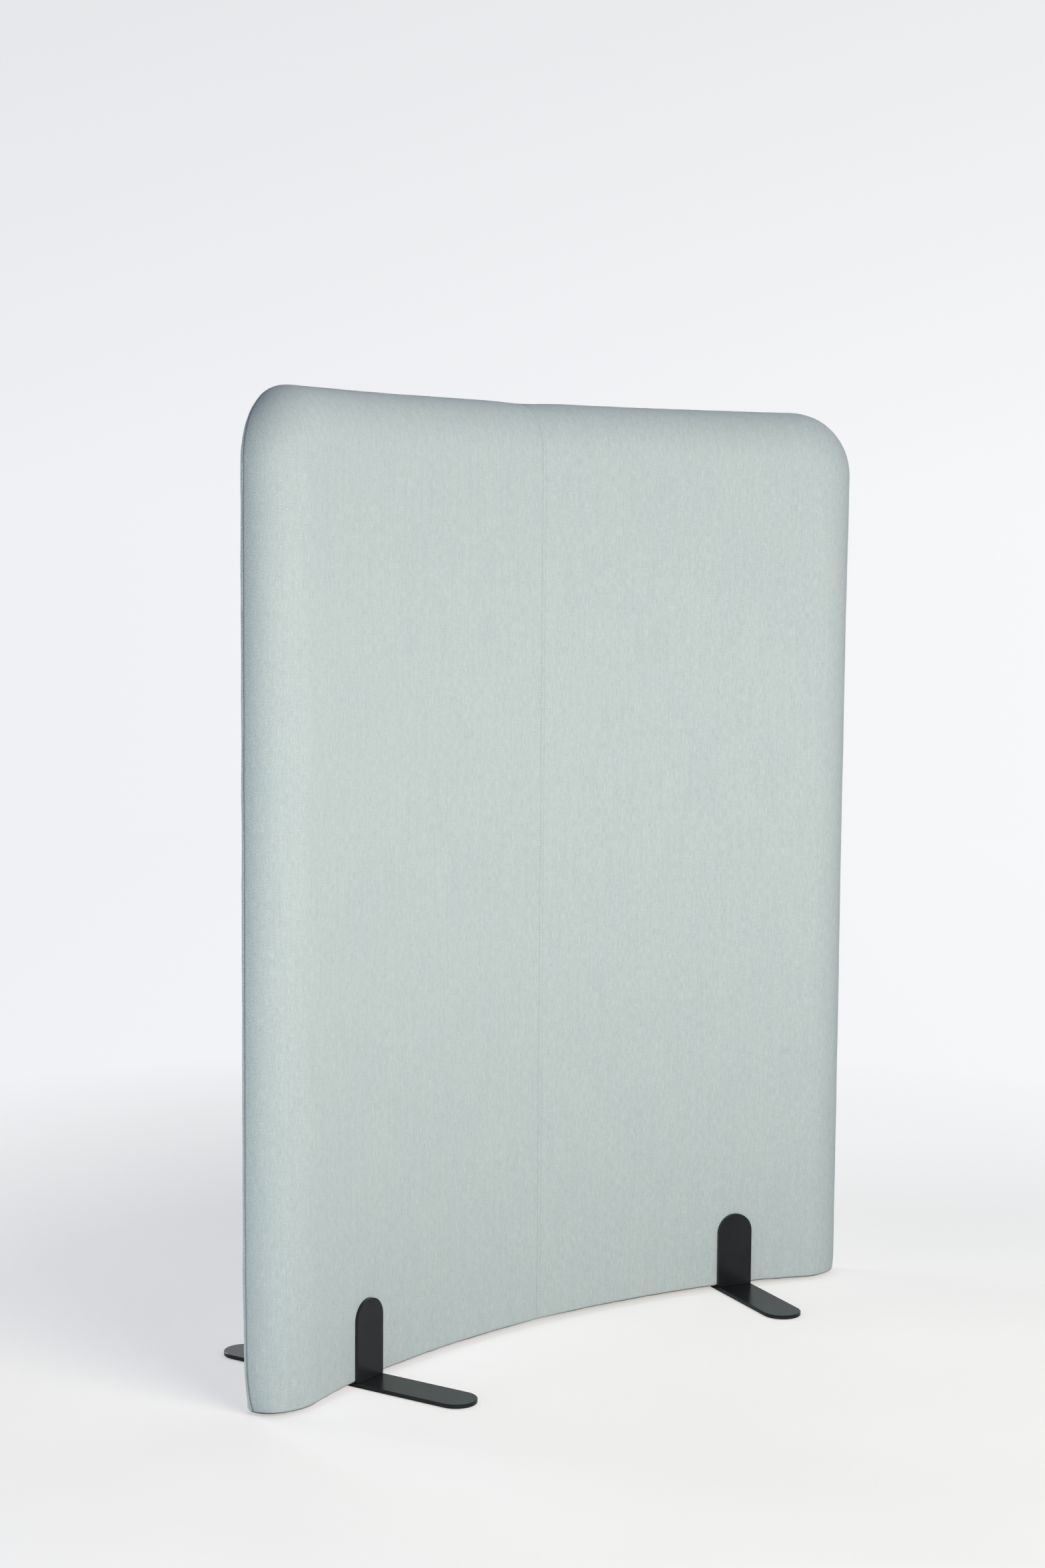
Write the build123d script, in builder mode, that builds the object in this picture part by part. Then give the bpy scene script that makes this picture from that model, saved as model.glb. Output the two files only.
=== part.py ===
from build123d import *
from math import cos, degrees, sin, sqrt
import os

os.makedirs("parts", exist_ok=True)

# Freestanding acoustic divider screen: a padded panel that curves about an upright axis, on two steel
# brackets. Millimetres. +Z is up, and the hollow side of the curve faces -Y. The origin is on the floor,
# midway between the two feet.

# Panel, measured over its covers
panel_height = 1400
panel_width = 1190  # along the curve, halfway through the thickness
panel_thickness = 70
mid_radius = 1375  # curve of the surface halfway through the thickness
top_corner_radius = 110
front_round = 66  # the padding rolls from the front face to the seam
back_round = 3.5
bottom_round = 4

# Covers and padding
cover_thickness = 1.5
seam_setback = 4  # from the back face to the seam between front and back covers
hem_slit = 6  # open strip between the hems, under the bottom rail
lining_thickness = 0.8
lining_margin = 5
layer_gap = 0.3  # clearance between neighbouring layers
back_foam_thickness = 6

# Timber core
board_thickness = 3
frame_depth = 24
frame_inset = 16  # from the panel's edge to the core's edge, filled with edge foam
stile_width = 45
top_rail_height = 60
bottom_rail_height = 110
corner_block_size = 112

# Brackets
foot_length = 440
bar_width = 60
bar_thickness = 6
upright_height = 117
bracket_from_end = 210  # along the curve, from the panel's end to the bracket's middle
edge_break = 0.6
weld_leg = 1.5
weld_end_margin = 5
pad_thickness = 1
pad_margin = 6

# Screws that pin the panel from behind
screw_radius = 3
screw_length = 30
screw_head_radius = 6
screw_socket_across = 4
screw_socket_depth = 2.5
screw_clearance = 0.5
countersink_angle = 90
screw_spacing = 45
lower_screw_height = 35  # above the foot plate
insert_radius = 5
insert_length = 18
insert_bore_depth = 20
thread_clearance = 0.1

# Staples that close the underside
staple_count = 14
staple_end_margin = 40
staple_crown = 10
staple_wire = 0.6
staple_leg = 8
staple_from_hem = 4.5  # from the hem's edge to the row of staples

overrun = 10  # how far a cutting shape runs past what it cuts

# Places that follow from the sizes
half_width = panel_width / 2
inner_radius = mid_radius - panel_thickness / 2
outer_radius = mid_radius + panel_thickness / 2
end_angle = half_width / mid_radius
bracket_angle = (half_width - bracket_from_end) / mid_radius
centre_y = -mid_radius * cos(bracket_angle)
plate_bottom = pad_thickness
plate_top = plate_bottom + bar_thickness
panel_bottom = plate_top + layer_gap
panel_top = panel_bottom + panel_height
cover_bottom = panel_bottom + lining_thickness + layer_gap
core_bottom = cover_bottom + cover_thickness + layer_gap
core_top = panel_top - frame_inset
core_half = half_width - frame_inset
core_corner_radius = top_corner_radius - frame_inset
padding_inset = cover_thickness + layer_gap

back_foam_inner = outer_radius - padding_inset - back_foam_thickness
back_board_outer = back_foam_inner - layer_gap
back_board_inner = back_board_outer - board_thickness
frame_outer = back_board_inner - layer_gap
frame_inner = frame_outer - frame_depth
front_board_outer = frame_inner - layer_gap
front_board_inner = front_board_outer - board_thickness
front_foam_outer = front_board_inner - layer_gap
seam_radius = outer_radius - seam_setback

rail_middle = (frame_inner + frame_outer) / 2
front_hem_edge = rail_middle - hem_slit / 2
back_hem_edge = rail_middle + hem_slit / 2
front_upright_radius = sqrt(inner_radius**2 - (bar_width / 2) ** 2) - layer_gap
back_upright_radius = outer_radius + layer_gap
screw_face_radius = back_upright_radius + bar_thickness
screw_heights = [lower_screw_height, lower_screw_height + screw_spacing]
whole_arc = half_width + overrun
sides = {"left": -1, "right": 1}


def curve_plane(height):
    """Level plane with its origin on the panel's axis of curvature."""
    return Plane((0, centre_y, height))


def bracket_plane(side, radius, facing):
    """Upright plane across a bracket at a radius, facing the hollow side (1) or the back (-1), y up."""
    angle = side * bracket_angle
    across, along = sin(angle), cos(angle)
    origin = (radius * across, centre_y + radius * along, plate_top)
    x_dir = (facing * along, -facing * across, 0)
    return Plane(origin, x_dir=x_dir, z_dir=(-facing * across, -facing * along, 0))


def weld_plane(side, radius):
    """Upright plane along a foot at a radius, with x towards the back and y up."""
    angle = side * bracket_angle
    across, along = sin(angle), cos(angle)
    origin = (radius * across, centre_y + radius * along, plate_top)
    return Plane(origin, x_dir=(across, along, 0), z_dir=(along, -across, 0))


def foot_plane(side, height):
    """Level plane at a foot's middle, with its x axis along the foot."""
    angle = side * bracket_angle
    origin = (mid_radius * sin(angle), centre_y + mid_radius * cos(angle), height)
    return Plane(origin, x_dir=(sin(angle), cos(angle), 0), z_dir=(0, 0, 1))


def sector(inner, outer, start, end, height):
    """Curved band between two radii and two places along the mid surface."""
    first = 90 - degrees(end / mid_radius)
    sweep = degrees((end - start) / mid_radius)
    with BuildSketch(curve_plane(height)) as band:
        with BuildLine():
            inside = CenterArc((0, 0), inner, first, sweep)
            outside = CenterArc((0, 0), outer, first, sweep)
            Line(inside @ 0, outside @ 0)
            Line(inside @ 1, outside @ 1)
        make_face()
    return band.sketch


def end_point(radius, inset, side):
    """Where a radius meets the panel's end plane moved inwards, seen from the axis of curvature."""
    along = sqrt(radius**2 - inset**2)
    x = along * sin(end_angle) - inset * cos(end_angle)
    y = along * cos(end_angle) + inset * sin(end_angle)
    return (side * x, y)


def plan(inset, height):
    """The panel's plan with square corners, moved inwards all round by an inset."""
    near = inner_radius + inset
    far = outer_radius - inset
    with BuildSketch(curve_plane(height)) as outline:
        with BuildLine():
            ThreePointArc(end_point(near, inset, -1), (0, near), end_point(near, inset, 1))
            Line(end_point(near, inset, 1), end_point(far, inset, 1))
            ThreePointArc(end_point(far, inset, 1), (0, far), end_point(far, inset, -1))
            Line(end_point(far, inset, -1), end_point(near, inset, -1))
        make_face()
    return outline.sketch


def envelope(inset, bottom):
    """The padded panel's outer form, moved inwards all round by an inset, from a bottom height."""
    with BuildPart() as form:
        extrude(plan(inset, bottom), amount=panel_top - inset - bottom)
        level_lines = form.edges().filter_by(GeomType.LINE).filter_by(Axis.Z, reverse=True)
        fillet(level_lines.group_by(Axis.Z)[-1], radius=top_corner_radius - inset)
        round_faces = form.faces().filter_by(GeomType.CYLINDER).sort_by(SortBy.AREA)[-2:]
        front = round_faces.sort_by(SortBy.AREA)[0]
        fillet(front.edges().sort_by(Axis.Z)[1:], radius=front_round - inset)
        back = form.faces().filter_by(GeomType.CYLINDER).sort_by(SortBy.AREA)[-1]
        fillet(back.edges().sort_by(Axis.Z)[1:], radius=back_round - inset)
        fillet(form.faces().sort_by(Axis.Z)[0].edges(), radius=bottom_round - inset)
    return form.part


def curved_board(inner, outer, margin, bottom):
    """Curved sheet with the core's outline, grown by a margin, from a bottom height."""
    with BuildPart() as board:
        edge = core_half + margin
        height = core_top + margin - bottom
        extrude(sector(inner_radius, outer_radius, -edge, edge, bottom), amount=height)
        level_lines = board.edges().filter_by(GeomType.LINE).filter_by(Axis.Z, reverse=True)
        fillet(level_lines.group_by(Axis.Z)[-1], radius=core_corner_radius + margin)
        extrude(sector(inner, outer, -whole_arc, whole_arc, bottom), amount=height, mode=Mode.INTERSECT)
    return board.part


def screw_circles(side, radius, facing, hole_radius):
    """Circles at a bracket's screws."""
    with BuildSketch(bracket_plane(side, radius, facing)) as circles:
        with Locations(*[(0, height) for height in screw_heights]):
            Circle(hole_radius)
    return circles.sketch


def upright_outline(side, radius, facing):
    """Outline of a bar that stands on the foot plate, with a half-round top."""
    half = bar_width / 2
    shoulder = upright_height - half
    with BuildSketch(bracket_plane(side, radius, facing)) as outline:
        with BuildLine():
            Polyline((-half, shoulder), (-half, 0), (half, 0), (half, shoulder))
            ThreePointArc((half, shoulder), (0, upright_height), (-half, shoulder))
        make_face()
    return outline.sketch


def staple_rectangles(radius, width, length, shifts):
    """Rectangles along the underside at a radius, each moved along the curve by the shifts."""
    reach = degrees((half_width - staple_end_margin) / mid_radius)
    with BuildSketch(curve_plane(panel_bottom)) as marks:
        with PolarLocations(radius, staple_count, 90 - reach, 2 * reach, endpoint=True):
            with Locations(*[(0, shift) for shift in shifts]):
                Rectangle(width, length)
    return marks.sketch


def save(piece, name):
    """Label a finished piece and write it."""
    piece.part.label = name
    export_step(piece.part, f"parts/{name}.step")


# Staples, and the slots that they leave in what they hold
with BuildPart() as bottom_staples:
    leg_shift = (staple_crown - staple_wire) / 2
    for row in (front_hem_edge - staple_from_hem, back_hem_edge + staple_from_hem):
        extrude(staple_rectangles(row, staple_wire, staple_crown, [0]), amount=staple_wire)
        extrude(staple_rectangles(row, staple_wire, staple_wire, [-leg_shift, leg_shift]), amount=staple_leg)
save(bottom_staples, "bottom_staples")

# Fabric covers: one shell, cut at the seam near the back face, at the middle of the front, and at the hems
outer_form = envelope(0, cover_bottom)
inner_form = envelope(cover_thickness, cover_bottom + cover_thickness)
padding_form = envelope(padding_inset, core_bottom)
hem_height = cover_thickness + layer_gap

with BuildPart() as front_cover:
    add(outer_form)
    add(inner_form, mode=Mode.SUBTRACT)
    front_band = sector(inner_radius - overrun, seam_radius, -whole_arc, whole_arc, cover_bottom)
    extrude(front_band, amount=panel_height, mode=Mode.INTERSECT)
    hem_band = sector(front_hem_edge, seam_radius + overrun, -whole_arc, whole_arc, cover_bottom - overrun)
    extrude(hem_band, amount=overrun + hem_height, mode=Mode.SUBTRACT)
    add(bottom_staples.part, mode=Mode.SUBTRACT)

with BuildPart() as front_cover_left:
    add(front_cover.part)
    split(bisect_by=Plane.YZ, keep=Keep.BOTTOM)
save(front_cover_left, "front_cover_left")

with BuildPart() as front_cover_right:
    add(front_cover.part)
    split(bisect_by=Plane.YZ, keep=Keep.TOP)
save(front_cover_right, "front_cover_right")

with BuildPart() as back_cover:
    add(outer_form)
    add(inner_form, mode=Mode.SUBTRACT)
    back_band = sector(inner_radius - overrun, seam_radius, -whole_arc, whole_arc, cover_bottom + hem_height)
    extrude(back_band, amount=panel_height, mode=Mode.SUBTRACT)
    front_hem = sector(inner_radius - overrun, back_hem_edge, -whole_arc, whole_arc, cover_bottom - overrun)
    extrude(front_hem, amount=overrun + hem_height, mode=Mode.SUBTRACT)
    for side in sides.values():
        holes = screw_circles(side, outer_radius + overrun, 1, screw_radius + screw_clearance)
        extrude(holes, amount=overrun + padding_inset, mode=Mode.SUBTRACT)
    add(bottom_staples.part, mode=Mode.SUBTRACT)
save(back_cover, "back_cover")

with BuildPart() as bottom_lining:
    extrude(plan(lining_margin, panel_bottom), amount=lining_thickness)
    front_corners = bottom_lining.edges().filter_by(Axis.Z).group_by(Axis.Y)[0]
    fillet(front_corners, radius=front_round - lining_margin)
    add(bottom_staples.part, mode=Mode.SUBTRACT)
save(bottom_lining, "bottom_lining")

# Foam: a thick front pad that rolls over the edges, a strip round the core, and a thin back layer
with BuildPart() as front_foam:
    add(padding_form)
    front_slab = sector(inner_radius - overrun, front_foam_outer, -whole_arc, whole_arc, core_bottom)
    extrude(front_slab, amount=panel_height, mode=Mode.INTERSECT)
save(front_foam, "front_foam")

with BuildPart() as edge_foam:
    add(padding_form)
    strip = sector(front_board_inner, back_board_outer, -whole_arc, whole_arc, core_bottom)
    extrude(strip, amount=panel_height, mode=Mode.INTERSECT)
    core = curved_board(front_foam_outer, back_foam_inner, layer_gap, core_bottom - overrun)
    add(core, mode=Mode.SUBTRACT)
save(edge_foam, "edge_foam")

with BuildPart() as back_foam:
    add(padding_form)
    back_slab = sector(back_foam_inner, outer_radius + overrun, -whole_arc, whole_arc, core_bottom)
    extrude(back_slab, amount=panel_height, mode=Mode.INTERSECT)
    for side in sides.values():
        holes = screw_circles(side, outer_radius + overrun, 1, screw_radius + screw_clearance)
        extrude(holes, amount=outer_radius + overrun - back_board_outer, mode=Mode.SUBTRACT)
save(back_foam, "back_foam")

# Timber core: two curved boards on a frame of rails, stiles and corner blocks, with two bays of infill
with BuildPart() as front_board:
    add(curved_board(front_board_inner, front_board_outer, 0, core_bottom))
save(front_board, "front_board")

with BuildPart() as back_board:
    add(curved_board(back_board_inner, back_board_outer, 0, core_bottom))
    for side in sides.values():
        holes = screw_circles(side, outer_radius + overrun, 1, screw_radius + screw_clearance)
        extrude(holes, amount=outer_radius + overrun - frame_outer, mode=Mode.SUBTRACT)
save(back_board, "back_board")

with BuildPart() as bottom_rail:
    extrude(sector(frame_inner, frame_outer, -core_half, core_half, core_bottom), amount=bottom_rail_height)
    for side in sides.values():
        bores = screw_circles(side, frame_outer + overrun, 1, insert_radius + thread_clearance)
        extrude(bores, amount=overrun + insert_bore_depth, mode=Mode.SUBTRACT)
    add(bottom_staples.part, mode=Mode.SUBTRACT)
save(bottom_rail, "bottom_rail")

rail_top = core_bottom + bottom_rail_height
block_bottom = core_top - corner_block_size
bay_outer_edge = core_half - stile_width
top_rail_half = core_half - corner_block_size

with BuildPart() as top_rail:
    band = sector(frame_inner, frame_outer, -top_rail_half, top_rail_half, core_top - top_rail_height)
    extrude(band, amount=top_rail_height)
save(top_rail, "top_rail")

with BuildPart() as centre_stile:
    band = sector(frame_inner, frame_outer, -stile_width / 2, stile_width / 2, rail_top)
    extrude(band, amount=core_top - top_rail_height - rail_top)
save(centre_stile, "centre_stile")


def side_span(side, near, far):
    """Start and end along the curve, for a piece between two distances from the middle."""
    return sorted((side * near, side * far))


for side_name, side in sides.items():
    with BuildPart() as stile:
        start, end = side_span(side, bay_outer_edge, core_half)
        extrude(sector(frame_inner, frame_outer, start, end, rail_top), amount=block_bottom - rail_top)
    save(stile, f"{side_name}_stile")

    with BuildPart() as corner_block:
        start, end = side_span(side, top_rail_half, core_half)
        extrude(sector(frame_inner, frame_outer, start, end, block_bottom), amount=corner_block_size)
        level_lines = corner_block.edges().filter_by(GeomType.LINE).filter_by(Axis.Z, reverse=True)
        outermost = level_lines.group_by(Axis.Z)[-1].sort_by(Axis.X)[0 if side < 0 else -1]
        fillet(outermost, radius=core_corner_radius)
    save(corner_block, f"{side_name}_corner_block")

    with BuildPart() as infill:
        start, end = side_span(side, stile_width / 2 + layer_gap, bay_outer_edge - layer_gap)
        bay = sector(frame_inner, frame_outer, start, end, rail_top + layer_gap)
        extrude(bay, amount=core_top - top_rail_height - rail_top - 2 * layer_gap)
        start, end = side_span(side, top_rail_half - layer_gap, core_half)
        notch = sector(frame_inner - overrun, frame_outer + overrun, start, end, block_bottom - layer_gap)
        extrude(notch, amount=corner_block_size, mode=Mode.SUBTRACT)
    save(infill, f"{side_name}_infill")

    # Bracket: a long foot plate with two uprights that straddle the panel, welded on the panel's side
    with BuildPart() as foot_plate:
        with BuildSketch(foot_plane(side, plate_bottom)):
            SlotOverall(foot_length, bar_width)
        extrude(amount=bar_thickness)
        rims = foot_plate.faces().filter_by(Plane.XY).edges()
        chamfer(rims, length=edge_break)
    save(foot_plate, f"{side_name}_foot_plate")

    with BuildPart() as foot_pad:
        with BuildSketch(foot_plane(side, 0)):
            SlotOverall(foot_length - 2 * pad_margin, bar_width - 2 * pad_margin)
        extrude(amount=pad_thickness)
    save(foot_pad, f"{side_name}_foot_pad")

    with BuildPart() as front_upright:
        extrude(upright_outline(side, front_upright_radius, 1), amount=bar_thickness)
        shown_face = bracket_plane(side, front_upright_radius - bar_thickness, 1)
        upright_faces = front_upright.faces().filter_by(GeomType.PLANE)
        chamfer(upright_faces.sort_by_distance(shown_face.origin)[0].edges(), length=edge_break)
    save(front_upright, f"{side_name}_front_upright")

    with BuildPart() as back_upright:
        extrude(upright_outline(side, back_upright_radius, -1), amount=bar_thickness)
        shown_face = bracket_plane(side, screw_face_radius, -1)
        upright_faces = back_upright.faces().filter_by(GeomType.PLANE)
        chamfer(upright_faces.sort_by_distance(shown_face.origin)[0].edges(), length=edge_break)
        with Locations(shown_face):
            with Locations(*[(0, height) for height in screw_heights]):
                CounterSinkHole(
                    radius=screw_radius + screw_clearance,
                    counter_sink_radius=screw_head_radius + thread_clearance,
                    counter_sink_angle=countersink_angle,
                )
    save(back_upright, f"{side_name}_back_upright")

    with BuildPart() as weld_beads:
        half_bead = bar_width / 2 - weld_end_margin
        for radius, towards_panel in ((front_upright_radius, 1), (back_upright_radius, -1)):
            with BuildSketch(weld_plane(side, radius)):
                with BuildLine():
                    Polyline((0, 0), (towards_panel * weld_leg, 0), (0, weld_leg), close=True)
                make_face()
            extrude(amount=half_bead, both=True)
    save(weld_beads, f"{side_name}_weld_beads")

    # Screws through the back upright into threaded inserts in the bottom rail
    with BuildPart() as screws:
        sink_depth = screw_head_radius - screw_radius
        extrude(screw_circles(side, screw_face_radius, 1, screw_radius), amount=screw_length)
        heads = screw_circles(side, screw_face_radius, 1, screw_head_radius)
        extrude(heads, amount=sink_depth, taper=countersink_angle / 2)
        with BuildSketch(bracket_plane(side, screw_face_radius, 1)):
            with Locations(*[(0, height) for height in screw_heights]):
                RegularPolygon(screw_socket_across / 2, 6, major_radius=False)
        extrude(amount=screw_socket_depth, mode=Mode.SUBTRACT)
    save(screws, f"{side_name}_screws")

    with BuildPart() as inserts:
        extrude(screw_circles(side, frame_outer, 1, insert_radius), amount=insert_length)
        bore = screw_circles(side, frame_outer, 1, screw_radius + thread_clearance)
        extrude(bore, amount=insert_length, mode=Mode.SUBTRACT)
    save(inserts, f"{side_name}_inserts")
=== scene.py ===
import bpy
import math
import numpy as np
from mathutils import Matrix, Vector, noise


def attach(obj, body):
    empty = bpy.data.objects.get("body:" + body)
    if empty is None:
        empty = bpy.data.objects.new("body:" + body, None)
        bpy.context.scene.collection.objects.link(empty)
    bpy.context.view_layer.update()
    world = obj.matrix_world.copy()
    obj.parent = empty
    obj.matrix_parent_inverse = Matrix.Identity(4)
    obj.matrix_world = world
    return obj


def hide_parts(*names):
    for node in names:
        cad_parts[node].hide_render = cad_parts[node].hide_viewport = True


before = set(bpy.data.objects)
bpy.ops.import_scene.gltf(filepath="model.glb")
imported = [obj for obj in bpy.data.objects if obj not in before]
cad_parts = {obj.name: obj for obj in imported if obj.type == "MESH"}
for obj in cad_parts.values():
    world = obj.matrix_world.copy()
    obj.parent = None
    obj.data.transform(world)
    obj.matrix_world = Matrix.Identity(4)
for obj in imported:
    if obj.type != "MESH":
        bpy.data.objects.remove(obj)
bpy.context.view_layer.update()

# The upholstered panel, laid flat before it is curved: across (x), through (y) and up (z), in metres.
# EDGE_REACH is how far in from its outline the pull on the edges reaches.
MID_RADIUS = 1.375
HALF_WIDTH = 0.595
HALF_THICKNESS = 0.035
PANEL_TOP = 1.4073
PANEL_BOTTOM = 0.0084
CORNER = 0.110
EDGE_REACH = 0.016
BRACKET_FROM_END = 0.210
# The middles of the feet stand at y = 0, and the middle of the hollow panel lies this far behind them
APEX = MID_RADIUS - MID_RADIUS * math.cos((HALF_WIDTH - BRACKET_FROM_END) / MID_RADIUS)

# The covers: the seam between front and back, the reach and depth of the round on each side of it,
# and the hem under the panel
CLOTH = 0.0015
SEAM_THROUGH = 0.031
FRONT_ROUND = (0.076, 0.066)
BACK_ROUND = (0.004, 0.004)
BOTTOM_ROUND = 0.004
HEM_TURN = 0.011
FRONT, BACK = -1, 1

# The foam: the faces of the boards that it lies on, the strip round the frame, its lowest edge,
# and the room it leaves for the cloth turned in at the edge seam and at the centre seam, deep and wide
FRONT_BOARD_FACE, BACK_BOARD_FACE = -0.0040, 0.0272
STRIP_FRONT, STRIP_MIDDLE, STRIP_BACK = -0.0038, 0.0110, 0.0271
STRIP_DEPTH = 0.0157
FOAM_CLEARANCE = 0.0004
FOAM_BOTTOM = PANEL_BOTTOM + 0.0021
STRIP_BOTTOM = PANEL_BOTTOM + 0.0020
EDGE_ROOM, CENTRE_ROOM = (0.0010, 0.0035), (0.0016, 0.0045)
MERGE_DISTANCE = 0.00002

# The lining: how far inside the covers it ends, its height over the floor and its thickness
LINING_MARGIN = 0.0062
LINING_HEIGHT = 0.0077
LINING = 0.0007

# The sewing: twin rows beside the centre seam, and stitches as length, width and height
STITCH_PITCH = 0.004
STITCH_OUT = 0.0033
CENTRE_STITCH = (0.0030, 0.0007, 0.0007)
EDGE_STITCH = (0.0034, 0.0008, 0.0009)
STITCH_LIFT = 0.00005
EDGE_STITCH_DEPTH = 0.0020

# The weave: distance between threads
WARP_PITCH, WEFT_PITCH = 0.0010, 0.0011


# Placing and finishing a mesh

def deselect_all():
    if bpy.context.mode != "OBJECT":
        bpy.ops.object.mode_set(mode="OBJECT")
    bpy.ops.object.select_all(action="DESELECT")


def pick(piece):
    deselect_all()
    piece.select_set(True)
    bpy.context.view_layer.objects.active = piece


def named(name):
    piece = bpy.context.object
    piece.name = piece.data.name = name
    return piece


def places(piece):
    co = np.empty(len(piece.data.vertices) * 3)
    piece.data.vertices.foreach_get("co", co)
    return co.reshape(-1, 3)


def move_to(piece, co):
    piece.data.vertices.foreach_set("co", np.ascontiguousarray(co, dtype=float).ravel())
    piece.data.update()


def apply(piece, kind, **settings):
    pick(piece)
    modifier = piece.modifiers.new(kind.title(), kind)
    for key, value in settings.items():
        setattr(modifier, key, value)
    bpy.ops.object.modifier_apply(modifier=modifier.name)


def curve_round(piece):
    """Bends a piece that was made flat round the screen's curve."""
    across = places(piece)[:, 0]
    apply(piece, "SIMPLE_DEFORM", deform_method="BEND", deform_axis="Z",
          angle=-np.ptp(across) / MID_RADIUS)
    piece.data.transform(Matrix.Translation((0, APEX, 0)))


def outwards(piece):
    pick(piece)
    bpy.ops.object.mode_set(mode="EDIT")
    bpy.ops.mesh.select_all(action="SELECT")
    bpy.ops.mesh.normals_make_consistent(inside=False)
    bpy.ops.object.mode_set(mode="OBJECT")


def merge(piece, close=False):
    """Joins points that coincide, and closes the open ends if asked to."""
    pick(piece)
    bpy.ops.object.mode_set(mode="EDIT")
    bpy.ops.mesh.select_all(action="SELECT")
    bpy.ops.mesh.remove_doubles(threshold=MERGE_DISTANCE)
    if close:
        bpy.ops.mesh.fill_holes(sides=0)
    bpy.ops.object.mode_set(mode="OBJECT")


def smooth(piece, angle):
    pick(piece)
    bpy.ops.object.shade_smooth_by_angle(angle=math.radians(angle))


# Finishes

class Flow:
    """A value on its way through a tree of nodes, to which plain arithmetic adds Math nodes."""

    def __init__(self, nodes, socket):
        self.nodes, self.socket = nodes, socket

    def __add__(self, other):
        return self.nodes.maths("ADD", self, other)

    def __radd__(self, other):
        return self.nodes.maths("ADD", other, self)

    def __sub__(self, other):
        return self.nodes.maths("SUBTRACT", self, other)

    def __rsub__(self, other):
        return self.nodes.maths("SUBTRACT", other, self)

    def __mul__(self, other):
        return self.nodes.maths("MULTIPLY", self, other)

    def __rmul__(self, other):
        return self.nodes.maths("MULTIPLY", other, self)

    def __truediv__(self, other):
        return self.nodes.maths("DIVIDE", self, other)

    def __pow__(self, other):
        return self.nodes.maths("POWER", self, other)


class Nodes:
    """A tree of nodes, with one method that adds any node and short ones for the usual nodes."""

    def __init__(self, tree):
        self.tree = tree

    def node(self, kind, settings=None, inputs=None, output=0):
        made = self.tree.nodes.new(kind)
        for key, value in (settings or {}).items():
            if key == "stops":
                ramp = made.color_ramp.elements
                while len(ramp) < len(value):
                    ramp.new(0.5)
                for stop, (position, colour) in zip(ramp, value):
                    stop.position = position
                    stop.color = (*colour, 1)
            else:
                setattr(made, key, value)
        for key, value in (inputs or {}).items():
            self.set(made.inputs[key], value)
        return Flow(self, made.outputs[output]) if made.outputs else None

    def set(self, socket, value):
        if isinstance(value, Flow):
            self.tree.links.new(value.socket, socket)
        elif socket.type == "RGBA":
            socket.default_value = (*value, 1)
        else:
            socket.default_value = value

    def maths(self, operation, *values):
        return self.node("ShaderNodeMath", {"operation": operation}, dict(enumerate(values)))

    def axis(self, where, letter):
        return self.node("ShaderNodeSeparateXYZ", inputs={0: where}, output=letter)

    def dot(self, where, way):
        return self.node("ShaderNodeVectorMath", {"operation": "DOT_PRODUCT"}, {0: where, 1: way}, "Value")

    def spread(self, value, low, high, to_low=0.0, to_high=1.0):
        return self.node("ShaderNodeMapRange", inputs={
            "Value": value, "From Min": low, "From Max": high, "To Min": to_low, "To Max": to_high})

    def blend(self, share, first, second, how="MIX"):
        return self.node("ShaderNodeMix", {"data_type": "RGBA", "blend_type": how},
                         {0: share, 6: first, 7: second}, output=2)

    def grain(self, where, scale, detail=2.0, roughness=0.5, output="Fac"):
        return self.node("ShaderNodeTexNoise", inputs={
            "Vector": where, "Scale": scale, "Detail": detail, "Roughness": roughness}, output=output)

    def relief(self, height, distance, strength):
        return self.node("ShaderNodeBump", inputs={
            "Height": height, "Distance": distance, "Strength": strength})


class Finish(Nodes):
    """One material."""

    def __init__(self, name):
        self.material = bpy.data.materials.new(name)
        self.material.use_nodes = True
        super().__init__(self.material.node_tree)
        self.shader = self.tree.nodes["Principled BSDF"]

    def coat(self, **sockets):
        for key, value in sockets.items():
            self.set(self.shader.inputs[key.replace("_", " ")], value)
        return self.material

    def place(self, scale=(1, 1, 1), turn=(0, 0, 0)):
        here = self.node("ShaderNodeTexCoord", output="Object")
        return self.node("ShaderNodeMapping", inputs={"Vector": here, "Scale": scale, "Rotation": turn})

    def cloth_place(self, scale=(1, 1, 1)):
        here = self.node("ShaderNodeUVMap", {"uv_map": "cloth"})
        return self.node("ShaderNodeMapping", inputs={"Vector": here, "Scale": scale})

    def measured(self, attribute):
        return self.node("ShaderNodeAttribute", {"attribute_name": attribute}, output="Fac")


def seam_marks(f, apart, along, stretch, surface):
    """Needle holes, and painted shade in the centre seam's groove and beside each row of stitches, stronger
    on stretched cloth.
    """
    off_seam = f.maths("ABSOLUTE", apart)
    off_row = f.maths("ABSOLUTE", off_seam - STITCH_OUT)
    step = f.maths("PINGPONG", along, STITCH_PITCH / 2)
    hole_width, hole_length = 0.0007, stretch * 0.0010 + 0.0008
    hole = f.spread((off_row / hole_width) ** 2 + (step / hole_length) ** 2, 0.4, 1.4, 1.0, 0.0)
    pulled = f.spread(apart, -0.001, 0.001, 0.85, 0.40) + stretch * 0.15
    surface = f.blend(hole * pulled, surface, (0.14, 0.17, 0.18))
    # Painted shade in the groove where the halves meet, and in the dips beside each row
    centre_groove_shade = f.spread(off_seam, 0.0003, 0.0009, 1.0, 0.0) * (stretch * 0.35 + 0.07)
    surface = f.blend(centre_groove_shade, surface, (0.20, 0.24, 0.25))
    beside = f.spread(off_row, 0.0003, 0.0010, 1.0, 0.0) * (stretch * 0.2 + 0.10)
    return f.blend(beside, surface, (0.30, 0.36, 0.37))


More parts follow.
